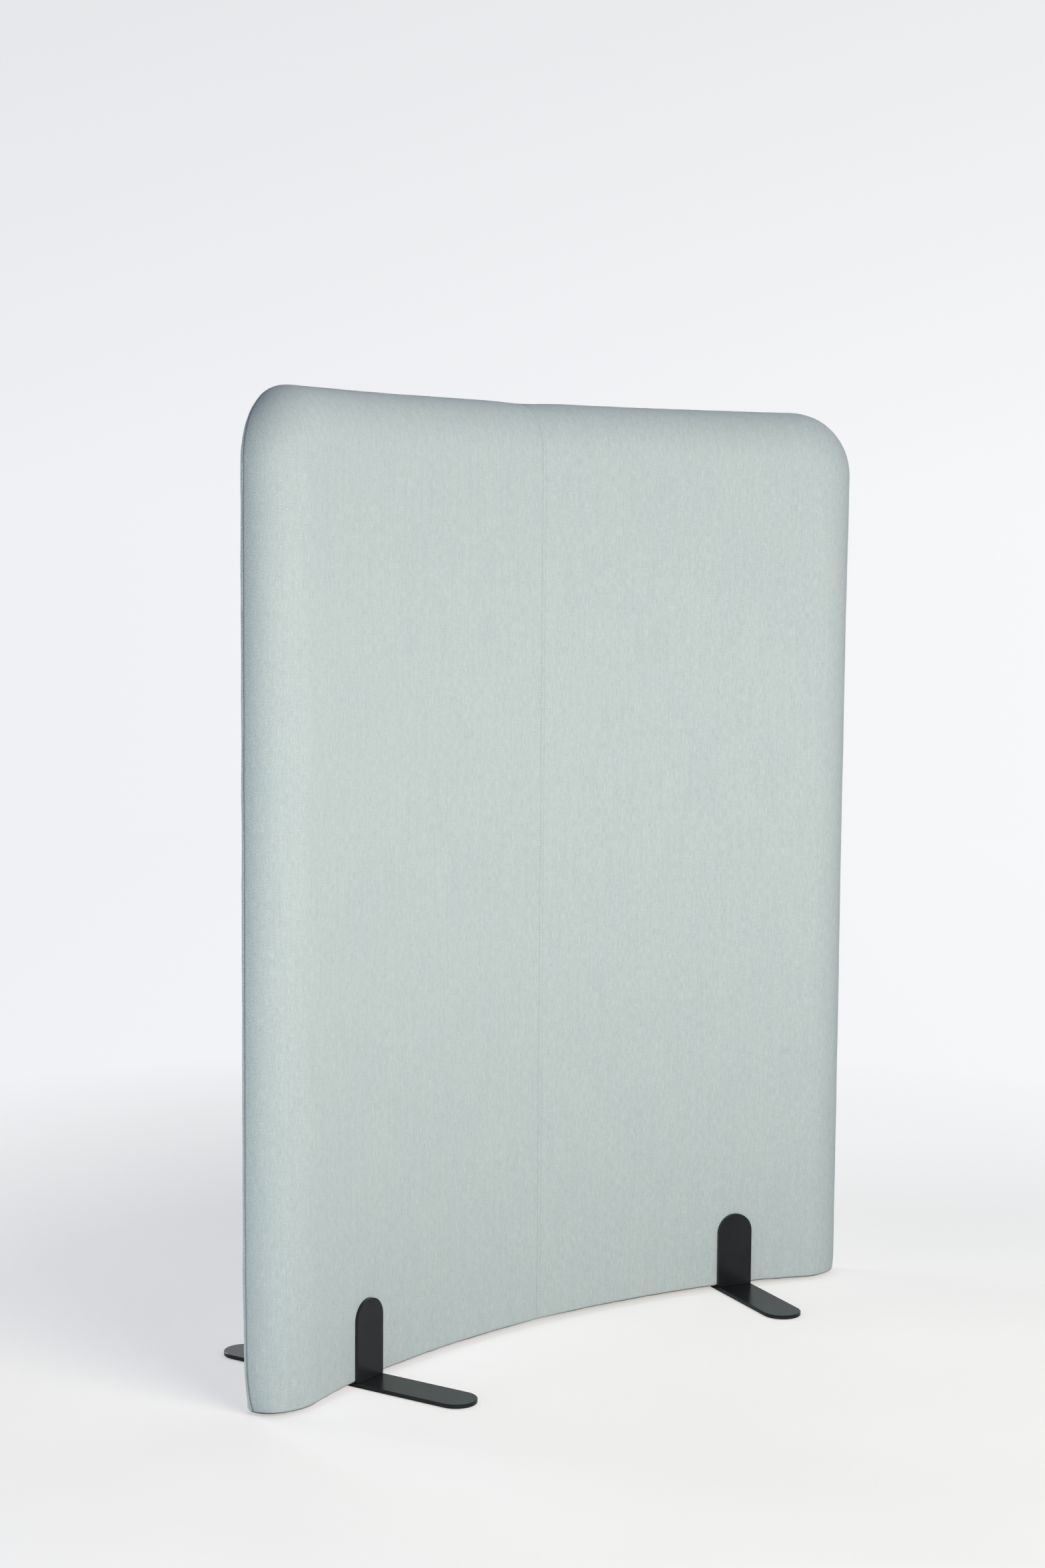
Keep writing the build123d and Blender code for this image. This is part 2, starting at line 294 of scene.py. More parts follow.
def wool_cloth(name, seam_rows):
    """Mottled wool upholstery cloth, woven with slubs that run up the panel."""
    f = Finish(name)
    where = f.cloth_place()
    apart, along = f.axis(where, "X"), f.axis(where, "Y")
    wobble = f.grain(where, 260.0) * 5.0
    warp = f.maths("SINE", apart * (2 * math.pi / WARP_PITCH) + wobble)
    weft = f.maths("SINE", along * (2 * math.pi / WEFT_PITCH) + wobble)
    checker = warp * weft
    slubs = f.grain(f.cloth_place((1, 0.11, 1)), 700.0, 2.0, 0.55)
    picks = f.grain(f.cloth_place((0.11, 1, 1)), 700.0, 2.0, 0.55)
    fleck = f.grain(f.cloth_place((1, 0.4, 1)), 1100.0, 1.0)
    long_slubs = f.grain(f.cloth_place((1, 0.035, 1)), 260.0)
    cloud = f.grain(f.cloth_place((1, 0.13, 1)), 75.0, 2.5, 0.55)
    wide_cloud = f.grain(f.cloth_place((1, 0.45, 1)), 11.0)
    patches = f.grain(f.cloth_place((1, 0.45, 1)), 140.0)
    mottle = f.grain(f.cloth_place((1, 0.7, 1)), 760.0, 1.5)
    yarn = f.spread(slubs * 0.42 + picks * 0.22 + fleck * 0.36, 0.36, 0.64)
    surface = f.node("ShaderNodeValToRGB", {"stops": (
        (0.0, (0.515, 0.568, 0.536)), (0.35, (0.583, 0.641, 0.605)),
        (0.62, (0.631, 0.692, 0.652)), (1.0, (0.690, 0.756, 0.714)))}, {"Fac": yarn})
    bluish = f.spread(cloud * 0.6 + wide_cloud * 0.4, 0.38, 0.62, 0.0, 0.5)
    surface = f.blend(bluish, surface, (0.950, 0.985, 1.015), "MULTIPLY")
    surface = f.blend(f.spread(patches, 0.38, 0.66, 0.0, 0.10), surface, (0.42, 0.50, 0.46))
    surface = f.blend(f.spread(long_slubs, 0.42, 0.68, 0.0, 0.15), surface, (0.42, 0.48, 0.47))
    # Painted shade: the cloth is darker and mottled near its edges, where it rolls away from the light, and
    # towards the panel's upper left, which less light reaches; near the edges the weave's gaps also show
    # more
    stretch = f.measured("stretch")
    painted_shade_share = f.spread(apart, -0.55, 0.05, 0.35, 0.03) + f.spread(along, 1.0, 1.35, 0.0, 0.20)
    painted_shade_share = (stretch + painted_shade_share) * f.spread(along, 0.0, 0.9, 0.6, 1.0)
    painted_edge_shade = f.spread(mottle, 0.42, 0.58, 0.38, 0.0) * painted_shade_share
    gaps = f.spread(checker, -1.0, 1.0, 1.0, 0.0) * (0.11 + stretch * 0.12)
    surface = f.blend(gaps + painted_edge_shade, surface, (0.34, 0.39, 0.40))
    if seam_rows:
        surface = seam_marks(f, apart, along, stretch, surface)
    # Painted shade, near black, in the edge seam's groove and along the hem where the cloth turns under the
    # panel
    surface = f.blend(f.measured("seam_shade"), surface, (0.030, 0.034, 0.040))
    height = f.spread(checker, -1.0, 1.0) * 0.45 + slubs * 0.45 + fleck * 0.35 + long_slubs * 0.5
    return f.coat(Base_Color=surface, Roughness=f.spread(yarn, 0.0, 1.0, 0.94, 0.84),
                  Specular_IOR_Level=0.25, Sheen_Weight=0.22, Sheen_Roughness=0.55,
                  Normal=f.relief(height, 0.0004, 0.8))


def thread_finish(name, colour):
    """Twisted polyester sewing thread."""
    f = Finish(name)
    twist = f.node("ShaderNodeTexWave", {"wave_type": "BANDS", "bands_direction": "DIAGONAL"},
                   {"Vector": f.place(), "Scale": 620.0, "Distortion": 1.5, "Detail": 1.0}, "Fac")
    lint = f.grain(f.place(), 900.0, 2.0)
    light = tuple(value * 1.25 for value in colour)
    dark = tuple(value * 0.62 for value in colour)
    return f.coat(Base_Color=f.blend(f.spread(twist * 0.7 + lint * 0.3, 0.2, 0.8), dark, light),
                  Roughness=f.spread(lint, 0.3, 0.7, 0.55, 0.75),
                  Normal=f.relief(twist, 0.00012, 0.8))


def powder_coat(name):
    """Black powder coat with a fine pebbled skin and rubbed patches."""
    f = Finish(name)
    pebble = f.node("ShaderNodeTexVoronoi", {"feature": "SMOOTH_F1"},
                    {"Vector": f.place(), "Scale": 1300.0, "Smoothness": 1.0}, "Distance")
    flow = f.grain(f.place(), 420.0)
    rub = f.grain(f.place(), 22.0, 4.0, 0.6)
    dust = f.grain(f.place(), 2200.0, 1.0)
    tone = f.blend(f.spread(rub, 0.35, 0.7), (0.0125, 0.0125, 0.0135), (0.0175, 0.0180, 0.0190))
    tone = f.blend(f.spread(dust, 0.66, 0.76, 0.0, 0.35), tone, (0.090, 0.092, 0.095))
    return f.coat(Base_Color=tone, Specular_IOR_Level=0.35,
                  Roughness=f.spread(rub * 0.6 + flow * 0.4, 0.35, 0.65, 0.20, 0.27),
                  Normal=f.relief(pebble * 0.7 + flow * 0.3, 0.00005, 0.30))


def black_lining(name):
    """Black spun lining cloth with loose matted fibres."""
    f = Finish(name)
    fibres = f.grain(f.place((1, 0.12, 1), (0, 0, 0.5)), 1100.0, 3.0, 0.65)
    across = f.grain(f.place((0.12, 1, 1), (0, 0, 0.8)), 1100.0, 3.0, 0.65)
    dots = f.node("ShaderNodeTexVoronoi", {"feature": "F1"},
                  {"Vector": f.place(), "Scale": 520.0, "Randomness": 0.3}, "Distance")
    mat = fibres * 0.5 + across * 0.5
    tone = f.blend(f.spread(mat, 0.38, 0.66), (0.010, 0.010, 0.011), (0.048, 0.048, 0.052))
    tone = f.blend(f.spread(dots, 0.12, 0.26, 0.55, 0.0), tone, (0.006, 0.006, 0.007))
    return f.coat(Base_Color=tone, Roughness=f.spread(mat, 0.3, 0.7, 0.95, 0.8),
                  Normal=f.relief(mat + f.spread(dots, 0.0, 0.4) * 0.5, 0.0003, 0.8))


def open_foam(name):
    """Cream open-cell foam."""
    f = Finish(name)
    cells = f.node("ShaderNodeTexVoronoi", {"feature": "DISTANCE_TO_EDGE"},
                   {"Vector": f.place(), "Scale": 900.0}, "Distance")
    cloud = f.grain(f.place(), 14.0, 3.0)
    # The hollows between the cell walls, which get painted shade
    cell_hollows = f.spread(cells, 0.02, 0.16)
    tone = f.blend(cell_hollows, (0.66, 0.61, 0.48), (0.40, 0.36, 0.27))
    tone = f.blend(f.spread(cloud, 0.4, 0.65, 0.0, 0.25), tone, (0.62, 0.52, 0.34))
    return f.coat(Base_Color=tone, Roughness=f.spread(cloud, 0.3, 0.7, 0.85, 0.95),
                  Normal=f.relief(cell_hollows, 0.0004, 0.9))


def grey_felt(name):
    """Dense grey recycled felt with coloured flecks."""
    f = Finish(name)
    fibres = f.grain(f.place((1, 0.2, 0.6), (0.4, 0.2, 0.7)), 700.0, 4.0, 0.7)
    fleck = f.grain(f.place(), 260.0, 1.0, output="Color")
    tone = f.blend(f.spread(fibres, 0.35, 0.68), (0.075, 0.078, 0.085), (0.30, 0.30, 0.31))
    tone = f.blend(0.16, tone, fleck)
    return f.coat(Base_Color=tone, Roughness=f.spread(fibres, 0.3, 0.7, 0.92, 0.84),
                  Normal=f.relief(fibres, 0.0006, 0.8))


def plywood_face(name):
    """Thin birch board, its figure running up the panel."""
    f = Finish(name)
    figure = f.node("ShaderNodeTexWave", {"wave_type": "BANDS", "bands_direction": "X"},
                    {"Vector": f.place((1, 1, 0.06)), "Scale": 9.0, "Distortion": 9.0,
                     "Detail": 3.0, "Detail Scale": 1.4}, "Fac")
    pores = f.grain(f.place((1, 1, 0.03)), 900.0, 3.0, 0.6)
    cloud = f.grain(f.place(), 6.0, 3.0)
    tone = f.blend(figure, (0.55, 0.40, 0.25), (0.68, 0.53, 0.35))
    tone = f.blend(f.spread(pores, 0.5, 0.7, 0.0, 0.45), tone, (0.34, 0.22, 0.12))
    tone = f.blend(f.spread(cloud, 0.4, 0.7, 0.0, 0.2), tone, (0.74, 0.60, 0.42))
    return f.coat(Base_Color=tone, Roughness=f.spread(pores, 0.3, 0.7, 0.55, 0.72),
                  Normal=f.relief(pores, 0.0002, 0.6))


def sawn_pine(name):
    """Planed pine with growth rings and resin lines."""
    f = Finish(name)
    rings = f.node("ShaderNodeTexWave", {"wave_type": "RINGS", "rings_direction": "Z"},
                   {"Vector": f.place((1, 1, 0.05)), "Scale": 42.0, "Distortion": 3.5,
                    "Detail": 2.0, "Detail Scale": 0.8}, "Fac")
    pores = f.grain(f.place((1, 1, 0.025)), 1200.0, 3.0, 0.6)
    tone = f.node("ShaderNodeValToRGB", {"stops": (
        (0.0, (0.72, 0.52, 0.29)), (0.55, (0.66, 0.45, 0.24)),
        (0.86, (0.42, 0.23, 0.10)), (1.0, (0.52, 0.31, 0.15)))}, {"Fac": rings})
    tone = f.blend(f.spread(pores, 0.52, 0.7, 0.0, 0.4), tone, (0.34, 0.20, 0.10))
    return f.coat(Base_Color=tone, Roughness=f.spread(rings, 0.0, 1.0, 0.62, 0.5),
                  Normal=f.relief(pores * 0.6 + rings * 0.4, 0.0003, 0.6))


def rubber_pad(name):
    """Black crumb rubber, scuffed."""
    f = Finish(name)
    crumb = f.node("ShaderNodeTexVoronoi", {"feature": "F1"},
                   {"Vector": f.place(), "Scale": 900.0}, "Distance")
    scuff = f.grain(f.place((1, 0.3, 1)), 60.0, 4.0, 0.6)
    tone = f.blend(f.spread(scuff, 0.4, 0.7), (0.016, 0.016, 0.017), (0.040, 0.040, 0.042))
    return f.coat(Base_Color=tone, Roughness=f.spread(scuff, 0.3, 0.7, 0.72, 0.88),
                  Normal=f.relief(crumb, 0.0002, 0.7))


def metal_finish(name, dark, light, rough):
    """Bare or plated metal with a faint spangle and brush marks."""
    f = Finish(name)
    spangle = f.node("ShaderNodeTexVoronoi", {"feature": "F1"},
                     {"Vector": f.place(), "Scale": 420.0}, "Color")
    brush = f.grain(f.place((1, 1, 0.15)), 1500.0, 3.0, 0.6)
    tone = f.blend(f.spread(f.grain(f.place(), 160.0, 3.0), 0.35, 0.65), dark, light)
    tone = f.blend(0.06, tone, spangle)
    return f.coat(Base_Color=tone, Metallic=1.0,
                  Roughness=f.spread(brush, 0.3, 0.7, rough - 0.08, rough + 0.1),
                  Normal=f.relief(brush, 0.0001, 0.5))


COVER = wool_cloth("sage wool cloth", True)
BACK_COVER = wool_cloth("sage wool back cloth", False)
THREAD = thread_finish("sage sewing thread", (0.36, 0.43, 0.44))
EDGE_THREAD = thread_finish("slate seam thread", (0.10, 0.11, 0.125))
STEEL = powder_coat("black powder coat")
finishes = {
    "timber": sawn_pine("planed pine"),
    "board": plywood_face("birch board"),
    "foam": open_foam("cream foam"),
    "infill": grey_felt("grey felt infill"),
    "lining": black_lining("black spun lining"),
    "pad": rubber_pad("black rubber"),
    "screws": metal_finish("blackened screw steel", (0.030, 0.030, 0.033), (0.075, 0.074, 0.078), 0.38),
    "zinc": metal_finish("zinc plate", (0.46, 0.48, 0.50), (0.66, 0.67, 0.69), 0.36),
}
finish_words = (
    ("_infill", "infill"), ("_foam", "foam"), ("_board", "board"), ("lining", "lining"),
    ("_rail", "timber"), ("_stile", "timber"), ("_block", "timber"), ("_pad", "pad"),
    ("_screws", "screws"), ("_inserts", "zinc"), ("_staples", "zinc"),
)
for name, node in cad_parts.items():
    kinds = [kind for ending, kind in finish_words if name.endswith(ending)]
    node.data.materials.clear()
    node.data.materials.append(finishes[kinds[0]] if kinds else STEEL)


# The upholstered covers

def spaced(stops):
    """Distances along the cloth, with the step that each part of it needs."""
    out = [stops[0][0]]
    for (start, step), (end, _) in zip(stops, stops[1:]):
        count = max(1, round((end - start) / step))
        out += list(np.linspace(start, end, count + 1)[1:])
    return np.array(out)


class Roll:
    """The rounded edge of a cover, from the edge seam over to the flat of the panel."""

    def __init__(self, face, reach, through):
        turn = np.linspace(0, math.pi / 2, 500)
        self.face = face
        self.inset = reach * (1 - np.cos(turn))
        self.through = through * np.sin(turn)
        self.length = np.concatenate([[0], np.cumsum(np.hypot(np.diff(self.inset), np.diff(self.through)))])
        lean = np.hypot(np.cos(turn) / reach, np.sin(turn) / through)
        self.sideways = np.cos(turn) / reach / lean
        self.full = self.length[-1]
        self.turn = self.full + CORNER - reach
        self.across = HALF_WIDTH - CORNER + self.turn
        self.tall = PANEL_TOP - CORNER - PANEL_BOTTOM - BOTTOM_ROUND + self.turn

    def inset_at(self, t):
        return np.where(t < self.full, np.interp(t, self.length, self.inset),
                        self.inset[-1] + t - self.full)

    def lay(self, side, from_edge, from_top):
        """Where points of the cloth lie, which way they face, and their place on the flat cloth."""
        nearest, other = np.minimum(from_edge, from_top), np.maximum(from_edge, from_top)
        at_side = from_edge <= from_top
        share = np.clip((other - nearest) / np.maximum(self.turn - nearest, 1e-9), 0, 1)
        lean = (1 - share) * math.pi / 4
        angle = np.where(at_side, lean, math.pi / 2 - lean)
        in_corner = other < self.turn
        ring = np.maximum(CORNER - self.inset_at(nearest), 0)
        flat_ring = self.turn - nearest
        middle_x, middle_z = HALF_WIDTH - CORNER, PANEL_TOP - CORNER
        x = np.where(in_corner, middle_x + ring * np.cos(angle), HALF_WIDTH - self.inset_at(from_edge))
        z = np.where(in_corner, middle_z + ring * np.sin(angle), PANEL_TOP - self.inset_at(from_top))
        u = np.where(in_corner, middle_x + flat_ring * np.cos(angle), middle_x + self.turn - from_edge)
        v = np.where(in_corner, middle_z + flat_ring * np.sin(angle), middle_z + self.turn - from_top)
        out_x = np.where(in_corner, np.cos(angle), at_side * 1.0)
        out_z = np.where(in_corner, np.sin(angle), 1.0 - at_side)
        sideways = np.where(nearest < self.full, np.interp(nearest, self.length, self.sideways), 0)
        facing = np.sqrt(1 - sideways ** 2)
        y = SEAM_THROUGH + self.face * np.interp(nearest, self.length, self.through)
        past = np.maximum(PANEL_BOTTOM + BOTTOM_ROUND - z, 0)
        curl = np.minimum(past / BOTTOM_ROUND, math.pi / 2)
        tucked = BOTTOM_ROUND * (1 - np.cos(curl)) + np.maximum(past - BOTTOM_ROUND * math.pi / 2, 0)
        z = np.where(past > 0, PANEL_BOTTOM + BOTTOM_ROUND * (1 - np.sin(curl)), z)
        way = np.stack([side * out_x * sideways, self.face * facing, out_z * sideways], 1)
        spot = np.stack([side * x, y, z], 1)
        level = np.stack([way[:, 0], way[:, 1], np.zeros(len(z))], 1)
        spot -= level / np.maximum(np.linalg.norm(level, axis=1), 1e-9)[:, None] * tucked[:, None]
        down = (np.sin(curl) * (past > 0))[:, None]
        way = way * (1 - down) + np.array([0, 0, -1.0]) * down
        way /= np.linalg.norm(way, axis=1)[:, None]
        return spot, way, side * u, v, nearest


front_roll = Roll(FRONT, *FRONT_ROUND)
back_roll = Roll(BACK, *BACK_ROUND)
# Where the front foam's rolled face meets the plane of the front board, as a distance along the cloth
foam_face = front_roll.through - np.sqrt(1 - front_roll.sideways ** 2) * (CLOTH + 2 * FOAM_CLEARANCE)
FOAM_STEP = float(np.interp(SEAM_THROUGH - FRONT_BOARD_FACE, foam_face, front_roll.length))


def bell(distance, width):
    return np.exp(-(distance / width) ** 2)


def soft_noise(u, v, size, seed):
    return np.array([noise.noise(Vector((a / size, b / size, seed))) for a, b in zip(u, v)])


def drawn_in(roll, u, v, nearest):
    """How far the cloth lies below the plain shape: the pull of its seams and a little slack."""
    # The groove of the edge seam, and the uneven pull of its stitches
    dip = 0.0013 * bell(nearest, 0.0010) + 0.0004 * bell(nearest, 0.006)
    dip += 0.0007 * bell(nearest, 0.035) * soft_noise(u, v, 0.075, 21.0)
    dip += 0.00028 * bell(nearest, 0.014) * soft_noise(u, v, 0.013, 11.0)
    # The slack on the flat of the panel
    dip += 0.0004 - 0.0005 * soft_noise(u, v, 0.16, 18.0) * (1 - bell(nearest, 0.02))
    if roll is front_roll:
        # The groove of the centre seam, its twin rows, and the hollow that they pull into the padding
        away = np.abs(u)
        dip += 0.0007 * bell(away, 0.0006) + 0.0003 * bell(away - STITCH_OUT, 0.0011)
        dip += 0.0006 * bell(away, 0.012) + 0.0008 * bell(away, 0.045)
        dip += 0.00025 * bell(away, 0.016) * soft_noise(u, v, 0.016, 14.0)
    return dip


def pulled_corners(co):
    """Pulls the soft pieces out of the plain shape alike, so that their outline is the photo's."""
    co = co.copy()
    side, left = np.sign(co[:, 0]), co[:, 0] < 0

    # The sides are drawn in over the foam, most at the lower corners
    near_side = np.clip(1 - (HALF_WIDTH - np.abs(co[:, 0])) / EDGE_REACH, 0, 1)
    rise = np.maximum(co[:, 2] - PANEL_BOTTOM, 0)
    lower_corner = np.where(left, 0.0070 * np.exp(-rise / 0.024), 0.0055 * np.exp(-rise / 0.009))
    pull = 0.0010 + 0.0012 * bell(rise, 0.15) + lower_corner
    co[:, 0] -= side * pull * near_side
    co[:, 1] -= 1.1 * pull * near_side * np.clip((co[:, 1] + 0.030) / 0.060, 0, 1)

    # The round of the left upper corner is drawn in, and the right one's swells
    out = np.maximum(np.abs(co[:, 0]) - (HALF_WIDTH - CORNER), 0)
    up = np.maximum(co[:, 2] - (PANEL_TOP - CORNER), 0)
    reach = np.maximum(np.hypot(out, up), 1e-9)
    midway = 2 * out * up / reach ** 2
    pull = np.where(left, 0.0008, -0.0030) * midway * np.clip((reach - 0.04) / 0.06, 0, 1)
    co[:, 0] -= side * pull * out / reach
    co[:, 2] -= pull * up / reach

    # The top edge dips at the centre seam, and the lower edge hangs lower at both ends
    near_top = np.clip(1 - (PANEL_TOP - co[:, 2]) / EDGE_REACH, 0, 1)
    co[:, 2] -= (0.0012 + 0.0018 * bell(co[:, 0], 0.045)) * near_top
    hang = np.clip((np.abs(co[:, 0]) - 0.42) / 0.12, 0, 1)
    hang = hang * hang * (3 - 2 * hang)
    co[:, 2] -= 0.0027 * hang * np.clip(1 - (co[:, 2] - PANEL_BOTTOM) / 0.04, 0, 1)

    # The right half is a little wider towards the top
    co[:, 0] *= 1 + 0.0072 * np.clip(co[:, 2] / PANEL_TOP, 0, 1) ** 4 * (co[:, 0] > 0)
    return co


def grid_of(name, columns, rows):
    """A flat net of faces with one column and row for each distance along the cloth."""
    deselect_all()
    bpy.ops.mesh.primitive_grid_add(x_subdivisions=len(columns) - 1, y_subdivisions=len(rows) - 1,
                                    size=2, calc_uvs=True)
    piece = named(name)
    co = places(piece)
    column = np.rint((co[:, 0] + 1) / 2 * (len(columns) - 1)).astype(int)
    row = np.rint((co[:, 1] + 1) / 2 * (len(rows) - 1)).astype(int)
    return piece, columns[column], rows[row]


def face_out(piece, face):
    outwards(piece)
    if piece.data.polygons[len(piece.data.polygons) // 2].normal.y * face < 0:
        piece.data.flip_normals()


def halves(roll, across, side=None):
    """The side of the panel that each column lies on, and its distance along the cloth from that edge."""
    if side is None:
        return np.where(across < 0, -1.0, 1.0), roll.across - np.abs(across)
    return np.full(len(across), side), across


def add_attribute(piece, name, values):
    attribute = piece.data.attributes.new(name, "FLOAT", "POINT")
    attribute.data.foreach_set("value", values)


def cover(name, roll, columns, rows, finish, node, side=None):
    """A cover sewn to shape: a net of cloth laid over the padding, with its seams drawn in."""
    piece, across, from_top = grid_of(name, columns, rows)
    spot, way, u, v, nearest = roll.lay(*halves(roll, across, side), from_top)
    spot = spot - way * drawn_in(roll, u, v, nearest)[:, None]
    # The lower edge waves a little
    spot[:, 2] += 0.0006 * (spot[:, 2] < PANEL_BOTTOM + 0.02) * soft_noise(u, v * 0 + 1, 0.022, 5.0)
    move_to(piece, pulled_corners(spot))
    # Each point's place on the flat cloth, and masks for the finish: the edge band with its painted shade,
    # and the painted shade of the seam's groove and the hem
    layer = piece.data.uv_layers[0]
    layer.name = "cloth"
    corners = np.empty(len(piece.data.loops), int)
    piece.data.loops.foreach_get("vertex_index", corners)
    layer.data.foreach_set("uv", np.stack([u, v], 1)[corners].ravel())
    add_attribute(piece, "stretch", bell(nearest, 0.030))
    # Painted shade in the edge seam's groove, weaker on the back cover, and along the hem that turns under
    # the panel
    seam = bell(nearest, 0.0018) if roll is front_roll else 0.5 * bell(nearest, 0.0007)
    under = 0.8 * np.clip((PANEL_BOTTOM + 0.0027 - spot[:, 2]) / 0.0013, 0, 1)
    add_attribute(piece, "seam_shade", np.maximum(seam, under))
    face_out(piece, roll.face)
    apply(piece, "SOLIDIFY", thickness=CLOTH, offset=-1.0)
    curve_round(piece)
    smooth(piece, 60)
    hand_over(piece, finish, node)


def hand_over(piece, finish, node):
    """Finishes a padded piece, puts it under the root body and hides the CAD node that it stands for."""
    piece.data.materials.append(finish)
    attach(piece, "root")
    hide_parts(node)


def padding(name, roll, columns, rows, board_face, node):
    """Foam cut to lie under a cover, its other side flat against the boards."""
    piece, across, from_top = grid_of(name, columns, rows)
    spot, way, u, v, nearest = roll.lay(*halves(roll, across), from_top)
    under = CLOTH + FOAM_CLEARANCE + drawn_in(roll, u, v, nearest)
    under += EDGE_ROOM[0] * bell(nearest, EDGE_ROOM[1])
    if roll is front_roll:
        under += CENTRE_ROOM[0] * bell(u, CENTRE_ROOM[1])
    spot = spot - way * under[:, None]
    lowest = from_top > rows[-1] - 1e-6
    spot[lowest, 2] = FOAM_BOTTOM
    spot[lowest, 1] -= roll.face * 0.0008
    move_to(piece, spot)
    face_out(piece, roll.face)
    # Solidify gives the second face, which is then laid flat on the board
    apply(piece, "SOLIDIFY", thickness=0.001, offset=-1.0)
    co = places(piece)
    count = len(spot)
    co[count:] = co[:count]
    co[count:, 1] = board_face
    inside = np.minimum if roll.face == FRONT else np.maximum
    co[:count, 1] = inside(co[:count, 1], board_face)
    move_to(piece, pulled_corners(co))
    merge(piece)
    outwards(piece)
    curve_round(piece)
    smooth(piece, 50)
    hand_over(piece, finishes["foam"], node)


def edge_padding():
    """The foam strip round the frame: one section carried round the panel's outline."""
    along = np.concatenate([np.linspace(0.0018, 0.009, 6), np.linspace(0.012, FOAM_STEP - 0.0003, 9)])
    sideways = np.interp(along, front_roll.length, front_roll.sideways)
    under = CLOTH + 0.0018 + 0.0018 * bell(along, 0.003) + 0.0004 * bell(along, 0.006)
    inset = front_roll.inset_at(along) + sideways * under
    through = SEAM_THROUGH - np.interp(along, front_roll.length, front_roll.through)
    through += np.sqrt(1 - sideways ** 2) * under
    rolled = np.stack([inset, np.minimum(through, STRIP_BACK - 0.0001)], 1)[1:]
    inner = [(STRIP_DEPTH, STRIP_FRONT), (STRIP_DEPTH, STRIP_MIDDLE), (STRIP_DEPTH, STRIP_BACK)]
    section = np.concatenate([[(inset[0], STRIP_BACK)], rolled, inner])

    # Stations along the outline: a point on it, and which way is out from the panel there
    middle_x, middle_z = HALF_WIDTH - CORNER, PANEL_TOP - CORNER
    heights = np.concatenate([[STRIP_BOTTOM], np.linspace(0.02, 0.14, 13), np.linspace(0.16, middle_z, 30)])
    turns = [(math.cos(turn), math.sin(turn)) for turn in np.linspace(0, math.pi / 2, 25)[1:-1]]
    right = [(HALF_WIDTH, z, 1.0, 0.0) for z in heights]
    right += [(middle_x + CORNER * out_x, middle_z + CORNER * out_z, out_x, out_z) for out_x, out_z in turns]
    top = [(x, PANEL_TOP, 0.0, 1.0) for x in np.linspace(middle_x, -middle_x, 41)]
    left = [(-x, z, -out_x, out_z) for x, z, out_x, out_z in right[::-1]]
    stations, count = np.array(right + top + left), len(section)

    piece, column, row = grid_of("edge_padding", np.arange(count + 1), np.arange(len(stations)))
    (inset, through), (x, z, out_x, out_z) = section[column % count].T, stations[row].T
    move_to(piece, np.stack([x - inset * out_x, through, z - inset * out_z], 1))
    merge(piece, close=True)
    move_to(piece, pulled_corners(places(piece)))
    outwards(piece)
    curve_round(piece)
    smooth(piece, 50)
    hand_over(piece, finishes["foam"], "edge_foam")


def underside_lining():
    """The black lining stapled across the underside, cut to follow the covers' drawn-in corners."""
    end = HALF_WIDTH - LINING_MARGIN
    across = np.concatenate([np.linspace(-end, -0.52, 25), np.linspace(-0.50, 0.50, 61),
                             np.linspace(0.52, end, 25)])
    piece, x, depth = grid_of("underside_lining", across, np.linspace(0, 1, 9))
    rounded = np.interp(end - np.abs(x), front_roll.inset, front_roll.through)
    back = SEAM_THROUGH + back_roll.through[-1] - LINING_MARGIN
    near = np.minimum(SEAM_THROUGH + LINING_MARGIN - rounded, back - 0.004)
    level = np.full(len(x), LINING_HEIGHT)
    move_to(piece, pulled_corners(np.stack([x, near + (back - near) * depth, level], 1)))
    co = places(piece)
    apply(piece, "SOLIDIFY", thickness=LINING, offset=0.0)
    outwards(piece)
    curve_round(piece)
    smooth(piece, 60)
    piece.data.materials.append(finishes["lining"])
    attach(piece, "root")
    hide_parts("bottom_lining")


def from_seam(step):
    """Rows of points that lie close together at the edge seam and go on with the given step."""
    return (0, 0.0006), (0.0024, 0.0012), (0.006, 0.0024), (0.018, step)


def down_to_hem(roll, step):
    fold = roll.tall + BOTTOM_ROUND * math.pi / 2
    return spaced((*from_seam(step), (roll.tall, 0.0012), (fold, 0.003), (fold + HEM_TURN, 0)))


def full_width(half, roll):
    return np.concatenate([half - roll.across, (roll.across - half)[::-1][1:]])


width = front_roll.across
rows = down_to_hem(front_roll, 0.0050)
columns = spaced((*from_seam(0.0050), (width - 0.024, 0.0024), (width - 0.009, 0.0009),
                  (width - 0.0025, 0.00045), (width - 0.00015, 0)))
for side, name in ((-1.0, "left"), (1.0, "right")):
    cover("front_cloth_" + name, front_roll, columns, rows, COVER, "front_cover_" + name, side)
rows = down_to_hem(back_roll, 0.0055)
columns = full_width(spaced((*from_seam(0.0075), (back_roll.across, 0))), back_roll)
cover("back_cloth", back_roll, columns, rows, BACK_COVER, "back_cover")

half = spaced(((FOAM_STEP, 0.006), (0.12, 0.013), (width - 0.03, 0.006), (width - 0.012, 0.002), (width, 0)))
padding("front_padding", front_roll, full_width(half, front_roll),
        spaced(((FOAM_STEP, 0.006), (0.12, 0.014), (front_roll.tall, 0))), FRONT_BOARD_FACE, "front_foam")
edge = ((0.0065, 0.004), (0.018, 0.008))
half = spaced((*edge, (0.05, 0.016), (back_roll.across, 0)))
padding("back_padding", back_roll, full_width(half, back_roll),
        spaced((*edge, (0.05, 0.018), (back_roll.tall, 0))), BACK_BOARD_FACE, "back_foam")
edge_padding()
underside_lining()


# Sewing

def one_stitch(length, width, height):
    """A plump grain of thread, whose ends dive into the cloth."""
    deselect_all()
    bpy.ops.mesh.primitive_uv_sphere_add(segments=6, ring_count=6, radius=0.5)
    stitch = named("stitch")
    stitch.data.transform(Matrix.Diagonal((width, height, length, 1)))
    return stitch


